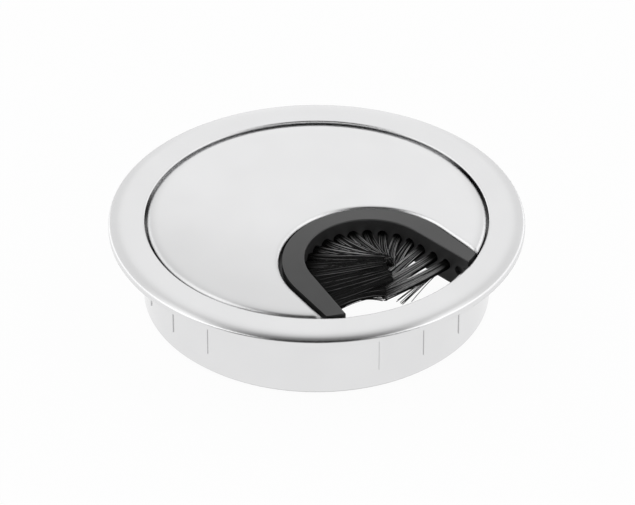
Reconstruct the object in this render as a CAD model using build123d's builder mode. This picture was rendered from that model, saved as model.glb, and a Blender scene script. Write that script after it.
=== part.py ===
import os
from math import cos, radians, sin, sqrt, tan

from build123d import *

os.makedirs("parts", exist_ok=True)

# Ring: a flange that lies on the desk and a collar that drops into the hole
desk_hole_diameter = 80.0
collar_clearance = 0.25
collar_length = 18.4
collar_wall = 1.9
collar_lead_in = 0.5
flange_diameter = 95.0
flange_thickness = 2.0
flange_crown_width = 3.5
flange_crown_drop = 0.6
flange_edge_round = 0.25
flange_lower_round = 0.25
lid_recess_diameter = 78.6
lid_seat_height = 0.1
recess_edge_break = 0.15

# Low ribs that bite into the wall of the hole
rib_pair_angle = -134.2
rib_pair_spread = 93.0
ribs_per_group = 3
rib_pitch_angle = 16.5
rib_width = 1.2
rib_height = 0.2
rib_length = 13.6
rib_root = 0.4

# Lid: a turning disc with a horseshoe cut-out that opens at the rim
lid_gap = 0.6
lid_sink = 0.1
lid_crown_width = 3.0
lid_crown_drop = 0.35
lid_edge_break = 0.2
cutout_edge_round = 0.6
cutout_centre = 21.15
cutout_radius = 20.75
cutout_flare = 3.0
skirt_clearance = 0.35
skirt_wall = 1.4
skirt_depth = 4.0
skirt_end_gap = 0.6

# Brush carrier: a horseshoe wall held under the lid by riveted pegs
carrier_gap = 0.7
carrier_wall = 5.45
carrier_proud = 0.15
carrier_lip_rise = 0.5
carrier_depth = 8.15
opening_shift = 0.75
opening_flare = 8.6
carrier_inner_round = 0.25
carrier_flange_width = 4.4
carrier_flange_thickness = 1.6
carrier_end_clearance = 0.35
peg_count = 5
peg_diameter = 2.2
peg_hole_gap = 0.3
peg_head_diameter = 3.6
peg_head_height = 0.9
peg_head_taper = 35.0
peg_arc_start = 0.0

# Tufts: bundles of bristles set in blind holes around the inside of the wall
tuft_count = 18
arm_tuft_count = 3
arm_tuft_start = 2.0
tuft_pitch = 3.97
tuft_hole_depth_below_top = 3.6
tuft_hole_diameter = 2.4
tuft_hole_depth = 3.2
end_hole_depth = 1.0
hole_overrun = 1.0
tuft_root_gap = 0.2
bristle_diameter = 0.28
bristle_spacing = 0.42
bristle_rings = 2
bristle_sides = 6
bristle_embed = 0.4
bristle_cuts = 3
bristle_cut_step = 0.45
arm_tuft_overlap = 1.7
arm_tuft_spread = 1.65
arm_tuft_flatness = 0.6
arc_tuft_stop_radius = 3.8
arc_tuft_spread = 0.72
left_droop = -0.08
right_droop = 0.16
layer_droop = 0.07

# Sizes that follow from the ones above
collar_radius = desk_hole_diameter / 2 - collar_clearance
bore_radius = collar_radius - collar_wall
flange_radius = flange_diameter / 2
recess_radius = lid_recess_diameter / 2
flat_radius = flange_radius - min(flange_crown_width, (flange_radius - recess_radius) / 2)
rib_group_range = rib_pitch_angle * (ribs_per_group - 1)
rib_pair_angles = [rib_pair_angle, rib_pair_angle + 180]
rib_group_angles = [middle + side * rib_pair_spread / 2 for middle in rib_pair_angles for side in (-1, 1)]
lid_radius = recess_radius - lid_gap
lid_top = flange_thickness - lid_sink
lid_thickness = lid_top - lid_seat_height
skirt_radius = bore_radius - skirt_clearance
carrier_outer = cutout_radius - carrier_gap
opening_radius = carrier_outer - carrier_wall
opening_centre = cutout_centre - opening_shift
carrier_top = flange_thickness + carrier_proud
carrier_bottom = carrier_top - carrier_depth
carrier_flange_outer = carrier_outer + carrier_flange_width
carrier_flange_reach = skirt_radius - skirt_wall - carrier_end_clearance
peg_arc_radius = carrier_outer + carrier_flange_width / 2
peg_step = (180 - 2 * peg_arc_start) / (peg_count - 1)
peg_angles = [radians(peg_arc_start + peg_step * number) for number in range(peg_count)]
peg_places = [(peg_arc_radius * cos(a), peg_arc_radius * sin(a) - cutout_centre) for a in peg_angles]
peg_head_plane = Plane(
    origin=(0, 0, lid_seat_height - carrier_flange_thickness), x_dir=(-1, 0, 0), z_dir=(0, 0, -1)
)
tuft_height = carrier_top - tuft_hole_depth_below_top
arm_flare = radians(opening_flare)
half_arc = opening_radius * (radians(90) - arm_flare)
arm_start = half_arc + arm_tuft_start
arc_places = tuft_count - 2 * arm_tuft_count
arc_pitch = 2 * arm_start / (arc_places + 1)
arc_alongs = [(number - (arc_places - 1) / 2) * arc_pitch for number in range(arc_places)]
arm_alongs = [arm_start + number * tuft_pitch for number in range(arm_tuft_count)]
tuft_alongs = [-along for along in reversed(arm_alongs)] + arc_alongs + arm_alongs
end_along = arm_start + arm_tuft_count * tuft_pitch


def horseshoe(radius, centre=cutout_centre, flare=radians(cutout_flare), mode=Mode.ADD):
    """Face of a flared horseshoe of this arc radius, running out past the flange at the mouth."""
    tangent_x = radius * cos(flare)
    tangent_y = radius * sin(flare) - centre
    mouth_y = -flange_radius
    mouth_x = tangent_x + (tangent_y - mouth_y) * tan(flare)
    with BuildLine() as outline:
        ThreePointArc((tangent_x, tangent_y), (0, radius - centre), (-tangent_x, tangent_y))
        Polyline((-tangent_x, tangent_y), (-mouth_x, mouth_y), (mouth_x, mouth_y), (tangent_x, tangent_y))
    make_face(outline.line.edges(), mode=mode)


def opening(mode=Mode.ADD):
    """Face of the opening inside the carrier wall."""
    horseshoe(opening_radius, opening_centre, arm_flare, mode)


def wall_point(along):
    """Point on the inside of the carrier wall and the way into the opening, right side positive."""
    middle = Vector(0, -opening_centre, tuft_height)
    side = 1 if along > 0 else -1
    run = abs(along) - half_arc
    if run < 0:
        angle = along / opening_radius
        inward = Vector(-sin(angle), -cos(angle), 0)
        return middle - inward * opening_radius, inward
    inward = Vector(-side * cos(arm_flare), -sin(arm_flare), 0)
    arm = Vector(side * sin(arm_flare), -cos(arm_flare), 0)
    return middle - inward * opening_radius + arm * run, inward


# Ring
with BuildPart() as ring:
    with BuildSketch(Plane.XZ):
        with BuildLine():
            Polyline(
                (recess_radius + recess_edge_break, flange_thickness),
                (recess_radius, flange_thickness - recess_edge_break),
                (recess_radius, lid_seat_height),
                (bore_radius, lid_seat_height),
                (bore_radius, collar_lead_in - collar_length),
                (bore_radius + collar_lead_in, -collar_length),
                (collar_radius - collar_lead_in, -collar_length),
                (collar_radius, collar_lead_in - collar_length),
                (collar_radius, 0),
                (flange_radius - flange_lower_round, 0),
            )
            lower = TangentArc(
                (flange_radius - flange_lower_round, 0), (flange_radius, flange_lower_round), tangent=(1, 0)
            )
            flat = Line(
                (recess_radius + recess_edge_break, flange_thickness), (flat_radius, flange_thickness)
            )
            crown = TangentArc(
                flat @ 1,
                (flange_radius - flange_edge_round, flange_thickness - flange_crown_drop),
                tangent=flat % 1,
            )
            edge_fall = flange_edge_round * tan((radians(90) - (crown % 1).Y) / 2)
            edge = TangentArc(
                crown @ 1,
                (flange_radius, flange_thickness - flange_crown_drop - edge_fall),
                tangent=crown % 1,
            )
            Line(edge @ 1, lower @ 1)
        make_face()
    revolve(axis=Axis.Z)
    with BuildSketch(Plane.XY):
        for group_angle in rib_group_angles:
            with PolarLocations(
                collar_radius + (rib_height - rib_root) / 2,
                ribs_per_group,
                start_angle=group_angle - rib_group_range / 2,
                angular_range=rib_group_range,
                endpoint=True,
            ):
                Rectangle(rib_height + rib_root, rib_width)
    extrude(amount=-rib_length)
ring.part.label = "ring"
export_step(ring.part, "parts/ring.step")

# Lid
with BuildPart() as lid:
    with BuildSketch(Plane.XY.offset(lid_seat_height)):
        Circle(flange_radius)
        horseshoe(cutout_radius, mode=Mode.SUBTRACT)
    extrude(amount=lid_thickness)
    cutout_edges = lid.edges().group_by(Axis.Z)[-1].filter_by(
        lambda edge: edge.distance_to((0, -cutout_centre, lid_top)) < cutout_radius + lid_crown_width / 2
    )
    fillet(cutout_edges, cutout_edge_round)
    with BuildSketch(Plane.XZ):
        with BuildLine():
            lid_flat = Line((0, lid_top), (lid_radius - lid_crown_width, lid_top))
            lid_crown = TangentArc(
                lid_flat @ 1, (lid_radius - lid_edge_break, lid_top - lid_crown_drop), tangent=lid_flat % 1
            )
            Polyline(
                lid_crown @ 1,
                (lid_radius, lid_top - lid_crown_drop - lid_edge_break),
                (lid_radius, lid_seat_height),
                (0, lid_seat_height),
                (0, lid_top),
            )
        make_face()
    revolve(axis=Axis.Z, mode=Mode.INTERSECT)
    with BuildSketch(Plane.XY.offset(lid_seat_height)):
        Circle(skirt_radius)
        Circle(skirt_radius - skirt_wall, mode=Mode.SUBTRACT)
        horseshoe(carrier_flange_outer + skirt_end_gap, mode=Mode.SUBTRACT)
    extrude(amount=-skirt_depth)
    with BuildSketch(Plane.XY.offset(lid_seat_height)):
        with Locations(*peg_places):
            Circle(peg_diameter / 2)
    extrude(amount=-carrier_flange_thickness)
    with BuildSketch(peg_head_plane):
        with Locations(*peg_places):
            Circle(peg_head_diameter / 2)
    extrude(amount=peg_head_height, taper=peg_head_taper)
lid.part.label = "lid"
export_step(lid.part, "parts/lid.step")

# Brush carrier
with BuildPart() as carrier_crown:
    with BuildSketch(Plane.XY.offset(carrier_top)):
        horseshoe(carrier_outer)
    with BuildSketch(Plane.XY.offset(carrier_top + carrier_lip_rise)):
        opening()
    loft(ruled=True)
with BuildPart() as brush_carrier:
    with BuildSketch(Plane.XY.offset(lid_seat_height)):
        horseshoe(carrier_outer)
    extrude(amount=carrier_top - lid_seat_height)
    add(carrier_crown.part)
    with BuildSketch(Plane.XY.offset(lid_seat_height)):
        opening()
    extrude(amount=carrier_top + carrier_lip_rise - lid_seat_height, mode=Mode.SUBTRACT)
    fillet(brush_carrier.edges().group_by(Axis.Z)[-1], carrier_inner_round)
    with BuildSketch(Plane.XY.offset(lid_seat_height)):
        Circle(lid_radius)
    extrude(amount=carrier_top + carrier_lip_rise - lid_seat_height, mode=Mode.INTERSECT)
    with BuildSketch(Plane.XY.offset(carrier_bottom)):
        horseshoe(carrier_outer)
        opening(mode=Mode.SUBTRACT)
        Circle(skirt_radius, mode=Mode.INTERSECT)
    extrude(amount=lid_seat_height - carrier_bottom)
    with BuildSketch(Plane.XY.offset(lid_seat_height)):
        horseshoe(carrier_flange_outer)
        horseshoe(carrier_outer - carrier_gap, mode=Mode.SUBTRACT)
        Circle(carrier_flange_reach, mode=Mode.INTERSECT)
    extrude(amount=-carrier_flange_thickness)
    with BuildSketch(Plane.XY.offset(lid_seat_height)):
        with Locations(*peg_places):
            Circle(peg_diameter / 2 + peg_hole_gap)
    extrude(amount=-carrier_flange_thickness, mode=Mode.SUBTRACT)
    for along in tuft_alongs:
        foot, inward = wall_point(along)
        with BuildSketch(Plane(origin=foot + inward * hole_overrun, x_dir=(0, 0, 1), z_dir=-inward)):
            Circle(tuft_hole_diameter / 2)
    extrude(amount=hole_overrun + tuft_hole_depth, mode=Mode.SUBTRACT)
    for side in (-1, 1):
        foot, inward = wall_point(side * end_along)
        with BuildSketch(Plane(origin=foot + inward * hole_overrun, x_dir=(0, 0, 1), z_dir=-inward)):
            Circle(tuft_hole_diameter / 2)
    extrude(amount=hole_overrun + end_hole_depth, mode=Mode.SUBTRACT)
brush_carrier.part.label = "brush_carrier"
export_step(brush_carrier.part, "parts/brush_carrier.step")

# Tufts, from the front of the left arm round to the front of the right arm
for number, along in enumerate(tuft_alongs):
    foot, inward = wall_point(along)
    across = Vector(0, 0, 1).cross(inward)
    droop = left_droop + (right_droop - left_droop) * number / (tuft_count - 1)
    droop = droop + (layer_droop if number % 2 else -layer_droop)
    reach = opening_radius - arc_tuft_stop_radius
    spread = arc_tuft_spread
    rise = arc_tuft_spread
    if abs(along) >= arm_start:
        droop = right_droop if along > 0 else left_droop
        reach = opening_radius + arm_tuft_overlap
        spread = arm_tuft_spread
        rise = arm_tuft_flatness
    with BuildPart() as tuft:
        with BuildSketch(Plane(origin=foot - inward * tuft_hole_depth, x_dir=across, z_dir=inward)):
            Circle(tuft_hole_diameter / 2 - tuft_root_gap)
        extrude(amount=tuft_hole_depth)
        for cut in range(bristle_cuts):
            for row in range(-bristle_rings, bristle_rings + 1):
                in_row = 2 * bristle_rings + 1 - abs(row)
                for place in range(in_row):
                    if (number + row + 2 * place) % bristle_cuts == cut:
                        u = (place - (in_row - 1) / 2) * bristle_spacing
                        v = row * bristle_spacing * sqrt(3) / 2
                        start = foot + across * u + Vector(0, 0, v) - inward * bristle_embed
                        tip = foot + across * u * spread + inward * reach
                        tip = tip + Vector(0, 0, v * rise - droop * reach)
                        with BuildSketch(Plane(origin=start, x_dir=across, z_dir=tip - start)):
                            RegularPolygon(radius=bristle_diameter / 2, side_count=bristle_sides)
            extrude(amount=reach + bristle_embed - bristle_cut_step * cut)
    tuft.part.label = f"tuft_{number + 1:02d}"
    export_step(tuft.part, f"parts/tuft_{number + 1:02d}.step")
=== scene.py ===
import math
import random

import bmesh
import bpy
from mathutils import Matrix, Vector


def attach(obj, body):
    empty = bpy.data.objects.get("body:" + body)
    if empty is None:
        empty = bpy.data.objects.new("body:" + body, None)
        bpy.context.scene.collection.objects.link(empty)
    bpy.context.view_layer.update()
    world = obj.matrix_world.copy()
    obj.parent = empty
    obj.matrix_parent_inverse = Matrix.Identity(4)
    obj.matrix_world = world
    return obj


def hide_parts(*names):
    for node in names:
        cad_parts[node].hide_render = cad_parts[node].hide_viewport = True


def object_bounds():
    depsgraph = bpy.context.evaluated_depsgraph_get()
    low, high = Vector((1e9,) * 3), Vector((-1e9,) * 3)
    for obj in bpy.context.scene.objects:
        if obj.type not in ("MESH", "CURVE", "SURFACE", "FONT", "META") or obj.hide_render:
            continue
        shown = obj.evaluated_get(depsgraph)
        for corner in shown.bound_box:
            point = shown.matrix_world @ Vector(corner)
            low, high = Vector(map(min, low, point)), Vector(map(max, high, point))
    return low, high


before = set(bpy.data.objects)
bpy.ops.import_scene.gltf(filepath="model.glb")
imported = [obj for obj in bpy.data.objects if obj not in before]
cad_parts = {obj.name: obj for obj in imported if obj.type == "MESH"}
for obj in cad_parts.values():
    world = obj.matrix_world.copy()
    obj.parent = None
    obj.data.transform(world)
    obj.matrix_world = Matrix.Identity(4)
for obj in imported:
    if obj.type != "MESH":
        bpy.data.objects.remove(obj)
cad_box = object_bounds()
scene = bpy.context.scene
scene.view_settings.view_transform = "Standard"

MM = 0.001
UP = Vector((0, 0, 1))

# Camera, fitted to the photograph: pixels of the picture, the sensor in millimetres, then radians and metres
PICTURE_WIDTH = 635
PICTURE_HEIGHT = 505
FOCAL_PIXELS = 4388
AIM_PIXEL = (316.7, 216.7)
SENSOR_WIDTH = 36.0
VIEW_TURN = math.radians(-35.5)
VIEW_RISE = math.radians(34.8)
VIEW_DISTANCE = 1.0
AIM_HEIGHT = 2.0 * MM

# Room: angles in degrees from the far horizon up over the part and down to the near one
PANEL_FADES = 35
SIDES_WIDEN = 57
FRONT_STARTS = 105
LOW_FRONT_STARTS = 142

# Floor, in metres, where its glow seen in the metal drops under the ring as painted shade, and the share of
# its glow that the eye sees
FLOOR_RADIUS = 6.0
FLOOR_DROP = 0.02 * MM
UNDER_RING = 36 * MM
BEYOND_RING = 40 * MM
GLOW_TO_EYE = 0.96

# Metal: the side where the painted shade in gaps is lifted by painted light and by how much, the side where
# the lid gets painted shade, and reaches in metres
PAINTED_LIT_SIDE = (0.43, 0.9, 0)
PAINTED_GAP_LIFT = 0.9
PAINTED_DIM_SIDE = (-0.9, -0.4, 0)
GAP_REACH = 1.6 * MM
SOFT_FROM = 0.2 * MM
SOFT_TO = 0.4 * MM
EDGE_SAMPLES = 8

# Carrier's inner wall and the tufts along it, as on the CAD part, in millimetres
WALL_RADIUS = 14.6
ARC_CENTRE = Vector((0.0, -20.4, -1.55))
FLARE = math.radians(8.6)
HALF_ARC = WALL_RADIUS * (math.radians(90) - FLARE)
ARM_START = HALF_ARC + 2.0
ARM_PITCH = 3.97
SIDE_TUFTS = 9
SIDE_ARC_TUFTS = 6

# Filaments: sizes in millimetres, counts and shares
ROOT_RADIUS = 0.9
ROOT_HEIGHT = 0.7 * ROOT_RADIUS
ROOT_DEPTH = 1.8
ROWS = 4
FILAMENT_PITCH = 0.17
FILAMENT_RADIUS = 0.085
FILAMENT_SIDES = 5
TIP_TAPER = 0.25
CURVE_STEPS = 10
MIDDLE_DROP = 0.4
MIDDLE_HEIGHT = 0.35
TIP_HEIGHT = 0.25
STRAY_RADIUS = 0.12
STRAY_SAG = 0.7
STRAY_SWAY = 0.5

# Chance in a tuft: its seed, then how far filaments wander
FIRST_SEED = 100
PLACE_JITTER = 0.4
SHORTER = 0.03
TIP_SPREAD = 0.14
TIP_LIFT = 0.06
MIDDLE_SPREAD = 0.07
MIDDLE_LIFT = 0.05
LOOSER = 1.6
FIRST_LOOSER_TUFT = 6

# Tones of the filaments: most are dark, and some of the upper rows get painted light along their middle,
# standing in for highlights; at the root all are dark as painted shade
LIT_BY_ROW = (1, 0.3, 0, 0)
LIT_STEP = 0.618
LIT_ROW_STEP = 0.3
LIT_RANGE = (0.6, 1.4)
DARK_RANGE = (0.003, 0.01)
ROOT_PAINTED_SHADE = 0.003
STRAY_TONE = 0.004
LIT_STARTS = (0.18, 0.42)
LIT_ENDS = (0.8, 1)
TIP_LOSS = 0.6


# Node trees

class Tree:
    """The node tree of a material or a world, with short ways to add nodes to it."""

    def __init__(self, owner):
        owner.use_nodes = True
        self.nodes = owner.node_tree.nodes
        self.links = owner.node_tree.links
        self.coords = self.nodes.new("ShaderNodeTexCoord").outputs

    def feed(self, socket, value):
        """Gives a socket a link from another node, or a constant."""
        if isinstance(value, bpy.types.NodeSocket):
            self.links.new(value, socket)
        else:
            socket.default_value = value

    def add(self, kind, inputs=None, **settings):
        """A node of this kind with these settings, its inputs given by name or number."""
        node = self.nodes.new("ShaderNode" + kind)
        for setting, value in settings.items():
            setattr(node, setting, value)
        for name, value in (inputs or {}).items():
            self.feed(node.inputs[name], value)
        return node

    def shade(self, inputs):
        """Feeds the material's own shader."""
        for name, value in inputs.items():
            self.feed(self.nodes["Principled BSDF"].inputs[name], value)

    def number(self, operation, *values):
        """A sum on numbers."""
        return self.add("Math", dict(enumerate(values)), operation=operation).outputs["Value"]

    def vector(self, operation, output, *values):
        """A sum on vectors or colours, with its Value or its Vector as the output."""
        return self.add("VectorMath", dict(enumerate(values)), operation=operation).outputs[output]

    def step(self, value, start, end, low=0.0, high=1.0, shape="LINEAR"):
        """Low up to start, high from end on, and a straight or smooth change between."""
        inputs = {"Value": value, "From Min": start, "From Max": end, "To Min": low, "To Max": high}
        return self.add("MapRange", inputs, interpolation_type=shape).outputs["Result"]

    def blend(self, factor, first, second, kind="Float"):
        """A mix from the first value to the second, of kind Float or Vector."""
        node = self.add("Mix", data_type=kind.upper())
        sockets = {socket.identifier: socket for socket in (*node.inputs, *node.outputs)}
        self.feed(sockets["Factor_Float"], factor)
        self.feed(sockets["A_" + kind], first)
        self.feed(sockets["B_" + kind], second)
        return sockets["Result_" + kind]

    def ramp(self, value, stops):
        """A colour ramp through these (position, colour) stops."""
        node = self.add("ValToRGB", {"Fac": value})
        elements = node.color_ramp.elements
        for element, (position, colour) in zip(elements, (stops[0], stops[-1])):
            element.position = position
            element.color = (*colour, 1)
        for position, colour in stops[1:-1]:
            elements.new(position).color = (*colour, 1)
        return node.outputs["Color"]

    def grey_ramp(self, value, stops):
        """A ramp through these (position, brightness) stops."""
        return self.ramp(value, [(position, (grey, grey, grey)) for position, grey in stops])

    def noise(self, scale, detail):
        """A noise texture in object space."""
        inputs = {"Vector": self.coords["Object"], "Scale": scale, "Detail": detail}
        return self.add("TexNoise", inputs).outputs["Fac"]

    def toward(self, direction, start, end, low, high):
        """A smooth change across the piece along a direction, with start and end in millimetres."""
        across = self.vector("DOT_PRODUCT", "Value", self.coords["Object"], direction)
        return self.step(across, start * MM, end * MM, low, high, "SMOOTHSTEP")

    def painted_gap_shade(self, stops):
        """Painted shade: white on open surfaces and dark inside narrow gaps where shade falls, by (openness,
        brightness) stops.
        """
        openness = self.add("AmbientOcclusion", {"Distance": GAP_REACH}, samples=EDGE_SAMPLES)
        return self.grey_ramp(openness.outputs["AO"], stops)

    def soft_edges(self, radius):
        """The surface's normal, with the upper edges softened by this radius."""
        edge = self.add("Bevel", {"Radius": radius}, samples=EDGE_SAMPLES)
        place = self.add("SeparateXYZ", {"Vector": self.coords["Object"]})
        upper = self.step(place.outputs["Z"], SOFT_FROM, SOFT_TO)
        plain = self.add("NewGeometry").outputs["Normal"]
        return self.blend(upper, plain, edge.outputs["Normal"], "Vector")

    def bump(self, height, strength, distance, normal=None):
        """A normal with a fine relief, over the surface's own normal or the one given."""
        inputs = {"Height": height, "Strength": strength, "Distance": distance}
        if normal is not None:
            inputs["Normal"] = normal
        return self.add("Bump", inputs).outputs["Normal"]


# Materials

def satin_metal(name, tone, soften, gaps, painted_dim=0.0):
    """Plated zinc casting: a soft cloudy sheen over a fine grain, with painted shade darkening narrow gaps,
    lifted toward white on one side as painted light, and painted shade toward one side where asked.
    """
    material = bpy.data.materials.new(name)
    tree = Tree(material)
    darker = tuple(channel * 0.975 for channel in tone)
    plating_and_painted_shade = tree.ramp(tree.noise(scale=90, detail=3), [(0.3, darker), (0.7, tone)])
    # Painted light: towards this side the painted gap shade is lifted toward white
    painted_lift = tree.toward(PAINTED_LIT_SIDE, start=12, end=21, low=0.0, high=PAINTED_GAP_LIFT)
    shade = tree.blend(painted_lift, tree.painted_gap_shade(gaps), 1.0)
    # Painted shade: the piece darkens toward its dim side by the share given
    painted_dimming = tree.toward(PAINTED_DIM_SIDE, start=2, end=36, low=1.0, high=1.0 - painted_dim)
    for factor in (shade, painted_dimming):
        plating_and_painted_shade = tree.vector("MULTIPLY", "Vector", plating_and_painted_shade, factor)
    grain = tree.noise(scale=9000, detail=2)
    tree.shade({
        "Base Color": plating_and_painted_shade,
        "Metallic": 1.0,
        "Roughness": tree.step(tree.noise(scale=260, detail=4), 0, 1, low=0.16, high=0.21),
        "Normal": tree.bump(grain, strength=0.04, distance=0.02 * MM, normal=tree.soft_edges(soften)),
    })
    return material


def black_plastic():
    """Moulded black plastic with a fine sparked texture."""
    material = bpy.data.materials.new("carrier_plastic")
    tree = Tree(material)
    grain = tree.noise(scale=7000, detail=3)
    cloud = tree.noise(scale=150, detail=2)
    tree.shade({
        "Base Color": tree.ramp(cloud, [(0.3, (0.019, 0.019, 0.0193)), (0.7, (0.024, 0.024, 0.0243))]),
        "IOR": 1.65,
        "Roughness": tree.step(grain, 0, 1, low=0.38, high=0.5),
        "Normal": tree.bump(grain, strength=0.12, distance=0.03 * MM),
    })
    return material


def bristle_nylon():
    """Drawn black nylon: each filament has a tone from the mesh, dark for most and painted light for some,
    with faint streaks.
    """
    material = bpy.data.materials.new("bristle_nylon")
    tree = Tree(material)
    tone = tree.add("Attribute", attribute_name="tone").outputs["Fac"]
    streaks = tree.step(tree.noise(scale=900, detail=2), 0, 1, low=0.75, high=1.25)
    tree.shade({
        "Base Color": tree.number("MULTIPLY", tone, streaks),
        "IOR": 1.53,
        "Specular IOR Level": 0.09,
        "Roughness": tree.step(tree.noise(scale=2500, detail=2), 0, 1, low=0.3, high=0.42),
    })
    return material


def dress(obj, material):
    """Gives the object this one material."""
    obj.data.materials.clear()
    obj.data.materials.append(material)


# Painted shade in the gaps of each metal, as (openness, brightness) stops
ring_painted_gap_shade = [(0.08, 0.01), (0.32, 0.1), (0.58, 1.0)]
lid_painted_gap_shade = [(0.05, 0.01), (0.25, 0.08), (0.42, 0.4), (0.54, 1.0)]
ring_metal = satin_metal("ring_metal", (0.765, 0.765, 0.77), 0.7 * MM, ring_painted_gap_shade)
lid_metal = satin_metal("lid_metal", (0.78, 0.78, 0.785), 1.8 * MM, lid_painted_gap_shade, painted_dim=0.13)
plastic = black_plastic()
nylon = bristle_nylon()
dress(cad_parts["ring"], ring_metal)
dress(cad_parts["lid"], lid_metal)
dress(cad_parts["brush_carrier"], plastic)


# Bristles

def wall_point(along):
    """Foot of a tuft on the carrier's wall and the way into the opening, in millimetres."""
    side = 1 if along > 0 else -1
    run = abs(along) - HALF_ARC
    if run < 0:
        angle = along / WALL_RADIUS
        inward = Vector((-math.sin(angle), -math.cos(angle), 0))
        return ARC_CENTRE - inward * WALL_RADIUS, inward
    inward = Vector((-side * math.cos(FLARE), -math.sin(FLARE), 0))
    arm = Vector((side * math.sin(FLARE), -math.cos(FLARE), 0))
    return ARC_CENTRE - inward * WALL_RADIUS + arm * run, inward


def tuft_along(number):
    """Distance of a tuft along the wall from its middle, as on the CAD part."""
    side = 1 if number >= SIDE_TUFTS else -1
    place = number - SIDE_TUFTS if side > 0 else SIDE_TUFTS - 1 - number
    if place < SIDE_ARC_TUFTS:
        return side * (2 * place + 1) * ARM_START / (2 * SIDE_ARC_TUFTS + 1)
    return side * (ARM_START + (place - SIDE_ARC_TUFTS) * ARM_PITCH)


def bend(start, middle, end, share):
    """Point of a quadratic curve at a share of its length."""
    return start * (1 - share) ** 2 + middle * (2 * share * (1 - share)) + end * share * share


def fade(value, low, high):
    """Smooth step from 0 at low to 1 at high."""
    share = min(max((value - low) / (high - low), 0), 1)
    return share * share * (3 - 2 * share)


def tone_along(own, share):
    """Tone of a filament at a share of its length: dark at the root as painted shade, then the tone given
    it, which is painted light on some, less at the tip.
    """
    return ROOT_PAINTED_SHADE + own * fade(share, *LIT_STARTS) * (1 - TIP_LOSS * fade(share, *LIT_ENDS))


def tube(mesh, points, radius):
    """A closed filament along these points, tapering a little to its tip."""
    last = len(points) - 1
    rings = []
    for place, point in enumerate(points):
        ahead = points[min(place + 1, last)] - points[max(place - 1, 0)]
        across = ahead.cross(UP).normalized()
        over = across.cross(ahead).normalized()
        size = radius * (1 - TIP_TAPER * place / last)
        circle = []
        for corner in range(FILAMENT_SIDES):
            turn = 2 * math.pi * corner / FILAMENT_SIDES
            spoke = across * math.cos(turn) + over * math.sin(turn)
            circle.append(mesh.verts.new((point + spoke * size) * MM))
        rings.append(circle)
    for near, far in zip(rings, rings[1:]):
        for corner in range(FILAMENT_SIDES):
            following = (corner + 1) % FILAMENT_SIDES
            mesh.faces.new((near[corner], near[following], far[following], far[corner]))
    mesh.faces.new(list(reversed(rings[0])))
    mesh.faces.new(rings[-1])


def tuft_filaments(number, tip, belly, width, lit, tone, pull=0.26, shift=0.0, loose=1.0, strays=()):
    """Root, middle, end, tone and radius of each filament, row by row from the top, then of the strays."""
    dice = random.Random(FIRST_SEED + number)
    foot, inward = wall_point(tuft_along(number))
    bottom = foot - inward * ROOT_DEPTH
    reach = (tip - foot).length
    root_across = UP.cross(inward)
    drop = UP * ((tip.z - foot.z) * MIDDLE_DROP)
    middle = foot + inward * (pull * reach) + root_across * shift + drop
    tip_across = UP.cross(tip - middle).normalized()
    filaments = []
    count = round(max(belly, width) * 2 / FILAMENT_PITCH)
    for row in range(ROWS):
        v = 1 - 2 * row / (ROWS - 1)
        for place in range(count):
            u = (2 * place + 1 + dice.uniform(-PLACE_JITTER, PLACE_JITTER)) / count - 1
            root = bottom + root_across * (u * ROOT_RADIUS) + UP * (v * ROOT_HEIGHT)
            shorter = (middle - tip).normalized() * (reach * dice.uniform(0, SHORTER))
            wander = tip_across * dice.gauss(0, TIP_SPREAD * loose) + UP * dice.gauss(0, TIP_LIFT * loose)
            end = tip + shorter + tip_across * (u * width) + UP * (v * TIP_HEIGHT) + wander
            sway = (root_across + tip_across) * (u * belly / 2 + dice.gauss(0, MIDDLE_SPREAD * loose))
            via = middle + sway + UP * (v * MIDDLE_HEIGHT + dice.gauss(0, MIDDLE_LIFT * loose))
            # Painted light: a share of the upper rows gets a light tone that stands in for highlights along
            # them; the rest keep a dark tone of their own
            light = (place * LIT_STEP + row * LIT_ROW_STEP) % 1 < lit * LIT_BY_ROW[row]
            own = tone * dice.uniform(*LIT_RANGE) if light else dice.uniform(*DARK_RANGE)
            filaments.append((root, via, end, own, FILAMENT_RADIUS))
    for end in strays:
        sag = UP * dice.uniform(-STRAY_SAG, 0) + root_across * dice.uniform(-STRAY_SWAY, STRAY_SWAY)
        filaments.append((bottom, middle + sag, Vector(end), STRAY_TONE, STRAY_RADIUS))
    return filaments


def bristle_tuft(number, filaments):
    """One tuft of fine filaments, which takes the place of its coarse CAD solid."""
    mesh = bmesh.new()
    tones_with_painted_light = []
    shares = [step / CURVE_STEPS for step in range(CURVE_STEPS + 1)]
    for root, via, end, own, radius in filaments:
        tube(mesh, [bend(root, via, end, share) for share in shares], radius)
        for share in shares:
            tones_with_painted_light += [tone_along(own, share)] * FILAMENT_SIDES
    data = bpy.data.meshes.new("bristles")
    mesh.to_mesh(data)
    mesh.free()
    data.attributes.new("tone", "FLOAT", "POINT").data.foreach_set("value", tones_with_painted_light)
    for face in data.polygons:
        face.use_smooth = True
    piece = bpy.data.objects.new("bristles_%02d" % (number + 1), data)
    scene.collection.objects.link(piece)
    dress(piece, nylon)
    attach(piece, "lid")
    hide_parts("tuft_%02d" % (number + 1))


# A row gives a tuft's tip, half widths at its middle and tip, share and tone of its filaments with painted
# light, then any pull and shift

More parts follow.
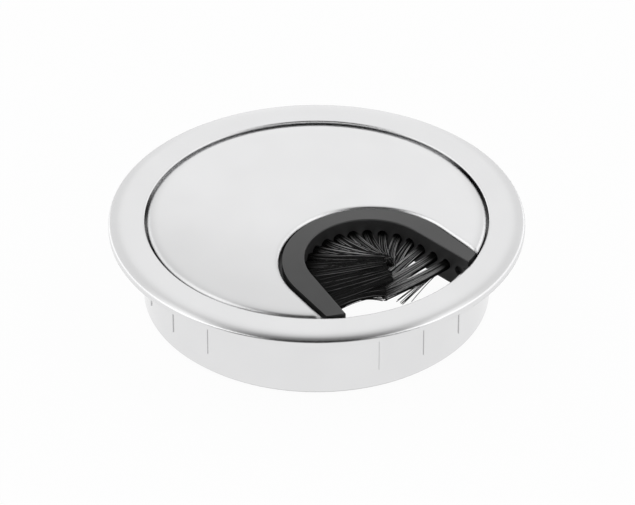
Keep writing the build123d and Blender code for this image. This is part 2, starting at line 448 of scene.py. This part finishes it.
# Left arm from its front, then the left half of the arc: one dense dark sheet over the middle
left_tufts = [
    ((-2.1, -29.7, -0.6), 0.9, 1.9, 0.07, 0.14, 0.5, 3.6),
    ((1.8, -26.5, -0.1), 2.2, 1.5, 0.06, 0.14),
    ((2.6, -24.9, 0.2), 2.4, 1.4, 0.06, 0.15),
    ((3.0, -23.1, 0.3), 2.4, 1.3, 0.07, 0.15),
    ((3.2, -21.6, 0.4), 2.2, 1.2, 0.09, 0.16),
    ((3.4, -20.8, 0.4), 2.0, 1.1, 0.12, 0.18),
    ((3.8, -20.4, 0.3), 1.8, 1.1, 0.16, 0.24),
    ((4.3, -20.4, 0.2), 1.6, 1.1, 0.28, 0.38),
    ((4.8, -20.8, 0.0), 1.5, 1.1, 0.32, 0.46),
]
ragged_ends = [
    (-5.7, -30.9, -0.8), (-4.8, -32.0, -0.8), (-3.9, -32.5, -0.8), (-5.1, -31.4, -0.8),
    (-4.8, -31.1, -0.7), (-4.0, -31.8, -0.7), (-3.4, -32.3, -0.7), (-5.2, -30.7, -0.7),
]

# Right half of the arc, then the right arm to its front: flat bundles that run under the left sheet
right_tufts = [
    ((5.0, -21.2, -0.3), 1.4, 1.1, 0.32, 0.48),
    ((5.4, -21.2, -0.6), 1.3, 1.1, 0.32, 0.46),
    ((4.9, -21.2, -1.2), 1.0, 1.2, 0.28, 0.24),
    ((4.9, -20.9, -1.8), 1.0, 1.3, 0.28, 0.26),
    ((5.1, -21.2, -2.2), 0.75, 1.3, 0.40, 0.32),
    ((5.0, -22.6, -2.5), 0.8, 1.3, 0.44, 0.36),
    ((0.5, -24.2, -2.7), 0.9, 1.6, 0.48, 0.44),
    ((-1.8, -25.5, -2.9), 1.0, 1.8, 0.48, 0.46),
    ((-2.3, -27.7, -3.1), 1.15, 1.8, 0.48, 0.44),
]
loose_ends = [
    (0.2, -32.8, -3.4), (0.3, -32.5, -3.3), (0.1, -32.3, -3.5), (0.2, -31.9, -3.4),
    (1.3, -32.2, -3.4), (2.5, -33.1, -3.4), (0.3, -30.8, -3.4), (-0.4, -31.3, -3.3),
]

all_tufts = left_tufts + right_tufts
strays_by_tuft = {0: ragged_ends, len(all_tufts) - 1: loose_ends}
for number, (tip, *shape) in enumerate(all_tufts):
    loose = LOOSER if FIRST_LOOSER_TUFT <= number < SIDE_TUFTS else 1.0
    strays = strays_by_tuft.get(number, ())
    bristle_tuft(number, tuft_filaments(number, Vector(tip), *shape, loose=loose, strays=strays))


# Floor, light and camera

def white_floor():
    """White paper that glows to the eye and to the metal, and keeps a faint shadow of the part; under the
    ring its glow seen in the metal is cut as painted shade.
    """
    material = bpy.data.materials.new("floor_white")
    tree = Tree(material)
    tree.shade({"Base Color": (0.9, 0.9, 0.9, 1), "Roughness": 0.9})
    paper = tree.nodes["Principled BSDF"].outputs["BSDF"]
    glow = tree.add("Emission", {"Strength": 1.0}).outputs["Emission"]
    rays = tree.add("LightPath").outputs
    radius = tree.vector("LENGTH", "Value", tree.coords["Object"])
    # Painted shade: under the ring the floor glows far less in reflections than beyond it
    glow_in_metal_with_painted_shade = tree.step(radius, UNDER_RING, BEYOND_RING, low=0.2, high=0.98)
    share = tree.number("MULTIPLY", rays["Is Glossy Ray"], glow_in_metal_with_painted_shade)
    for ray in ("Is Camera Ray", "Is Transmission Ray"):
        share = tree.number("MULTIPLY_ADD", rays[ray], GLOW_TO_EYE, share)
    mix = tree.add("MixShader", {"Fac": share, 1: paper, 2: glow})
    tree.feed(tree.nodes["Material Output"].inputs["Surface"], mix.outputs["Shader"])
    return material


def lay_floor():
    """A wide disc of white paper just under the collar."""
    disc = bmesh.new()
    bmesh.ops.create_circle(disc, cap_ends=True, radius=FLOOR_RADIUS, segments=64)
    data = bpy.data.meshes.new("floor")
    disc.to_mesh(data)
    disc.free()
    floor = bpy.data.objects.new("floor", data)
    floor.location.z = cad_box[0].z - FLOOR_DROP
    scene.collection.objects.link(floor)
    dress(floor, white_floor())


def studio_world():
    """A bright panel beyond the part that fades overhead, white sides, and a front bright only low down."""
    world = bpy.data.worlds.new("studio")
    tree = Tree(world)
    side = Vector((math.cos(VIEW_TURN), math.sin(VIEW_TURN), 0))
    far = Vector((-math.sin(VIEW_TURN), math.cos(VIEW_TURN), 0))

    def reach(direction):
        """How far a ray goes in this direction, from -1 to 1."""
        return tree.vector("DOT_PRODUCT", "Value", tree.coords["Generated"], direction)

    def sides(start, end):
        """0 in the middle of the room and 1 at its left and right."""
        return tree.step(tree.number("ABSOLUTE", reach(side)), start, end, shape="SMOOTHSTEP")

    def past(degrees, start=-0.1, end=0.1, shape="SMOOTHSTEP"):
        """0 before and 1 after an angle that runs from the far horizon up over the part."""
        angle = math.radians(degrees)
        return tree.step(reach(UP * math.cos(angle) - far * math.sin(angle)), start, end, shape=shape)

    # Panel: its brightness by height, and a little less to its left and right
    fall = [(0.0, 1.05), (0.2, 1.0), (0.34, 0.87), (0.46, 0.62), (0.53, 0.28), (0.6, 0.05), (0.66, 0.02)]
    overhead = tree.grey_ramp(past(PANEL_FADES, 0, 1, "LINEAR"), fall)
    panel = tree.number("MULTIPLY", overhead, tree.blend(sides(0.08, 0.28), 1.0, 0.86))
    # White sides, which reach further in higher up
    white = tree.blend(sides(0.62, 0.8), 1.5, 1.12)
    lower = tree.blend(sides(0.44, 0.58), panel, white)
    upper = tree.blend(sides(0.2, 0.32), panel, white)
    beyond = tree.blend(past(SIDES_WIDEN), lower, upper)
    # Front: dark, but bright low down and at its sides
    low_front = tree.blend(past(LOW_FRONT_STARTS, -0.06, 0.06), 0.03, 0.9)
    front = tree.blend(sides(0.55, 0.75), low_front, 0.95)
    background = tree.nodes["Background"].inputs
    tree.feed(background["Color"], (1, 1, 1, 1))
    tree.feed(background["Strength"], tree.blend(past(FRONT_STARTS), beyond, front))
    return world


def set_camera():
    """The camera that took the photograph."""
    level = math.cos(VIEW_RISE)
    back = Vector((math.sin(VIEW_TURN) * level, -math.cos(VIEW_TURN) * level, math.sin(VIEW_RISE)))
    data = bpy.data.cameras.new("camera")
    data.sensor_width = SENSOR_WIDTH
    data.lens = FOCAL_PIXELS * SENSOR_WIDTH / PICTURE_WIDTH
    data.shift_x = (PICTURE_WIDTH / 2 - AIM_PIXEL[0]) / PICTURE_WIDTH
    data.shift_y = (AIM_PIXEL[1] - PICTURE_HEIGHT / 2) / PICTURE_WIDTH
    data.clip_start = 0.01
    data.clip_end = 50
    data.dof.use_dof = False
    camera = bpy.data.objects.new("camera", data)
    camera.location = UP * AIM_HEIGHT + back * VIEW_DISTANCE
    camera.rotation_euler = (-back).to_track_quat("-Z", "Y").to_euler()
    scene.collection.objects.link(camera)
    scene.camera = camera


lay_floor()
scene.world = studio_world()
set_camera()
